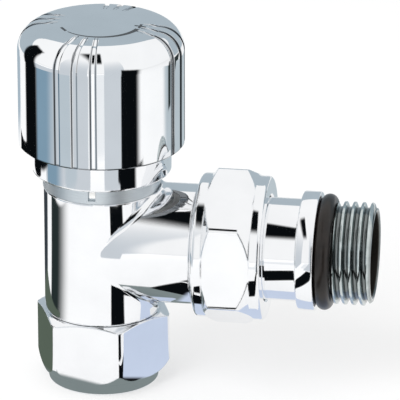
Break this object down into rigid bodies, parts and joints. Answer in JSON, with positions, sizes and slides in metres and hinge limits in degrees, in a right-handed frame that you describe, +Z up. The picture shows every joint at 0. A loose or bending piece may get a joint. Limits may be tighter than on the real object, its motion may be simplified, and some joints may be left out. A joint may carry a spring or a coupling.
{
  "type": "angled radiator valve",
  "caption": "Angled chrome radiator valve: compression nut for the pipe below, union nut and threaded tailpiece to the radiator, and a grooved knob on top that lifts a spring-loaded stem.",
  "frame": {"origin": "centre of the pipe mouth at the foot of the compression nut, on the body axis", "axes": "+Z up the body axis through the head, +X along the outlet towards the radiator; the pipe leaves along -Z"},
  "size_m": [0.0723, 0.0334, 0.0765],
  "materials": {
    "chrome": "mirror plating over brass",
    "plated_knob": "mirror plating",
    "satin_metal": "satin",
    "white_mark": "gloss",
    "dark_rubber": "matt",
    "brass": "turned",
    "steel": "drawn",
    "white_plastic": "moulded"
  },
  "bodies": {
    "valve": {"valve_body": "chrome", "compression_nut": "chrome", "olive": "brass", "union_nut": "chrome", "tailpiece": "chrome", "radiator_o_ring": "dark_rubber", "union_o_ring": "dark_rubber", "union_snap_ring": "steel", "bonnet": "brass", "bonnet_o_ring": "dark_rubber", "gland_nut": "brass", "gland_o_ring": "dark_rubber", "return_spring": "steel", "index_ring": "satin_metal", "index_tab": "white_mark", "collar": "chrome", "head_base": "white_plastic", "thrust_washer": "white_plastic", "knob_snap_ring": "steel"},
    "knob": {"knob": "plated_knob", "hub_ring": "white_plastic", "drive_sleeve": "white_plastic"},
    "sensor": {"sensor_carrier": "white_plastic", "capsule_clip": "steel", "wax_capsule": "brass", "sensor_piston": "steel", "overload_spring": "steel"},
    "stem": {"spindle": "steel", "spring_clip": "steel", "disc_holder": "brass", "disc_seal": "dark_rubber", "seal_screw": "brass"}
  },
  "joints": [
    {"name": "knob_turn", "type": "hinge", "parent": "valve", "child": "knob", "pos_m": [0, 0, 0.06], "axis": [0, 0, 1], "range_deg": [-135, 135]},
    {"name": "sensor_slide", "type": "slide", "parent": "valve", "child": "sensor", "axis": [0, 0, 1], "range_m": [-0.00151, 0.00151]},
    {"name": "stem_slide", "type": "slide", "parent": "valve", "child": "stem", "axis": [0, 0, 1], "range_m": [-0.00151, 0.00151], "deforming": ["return_spring"]}
  ],
  "couplings": [
    {"joint": "sensor_slide", "follows": "knob_turn", "m_per_rad": 0.00063662},
    {"joint": "stem_slide", "follows": "knob_turn", "m_per_rad": 0.00063662}
  ]
}
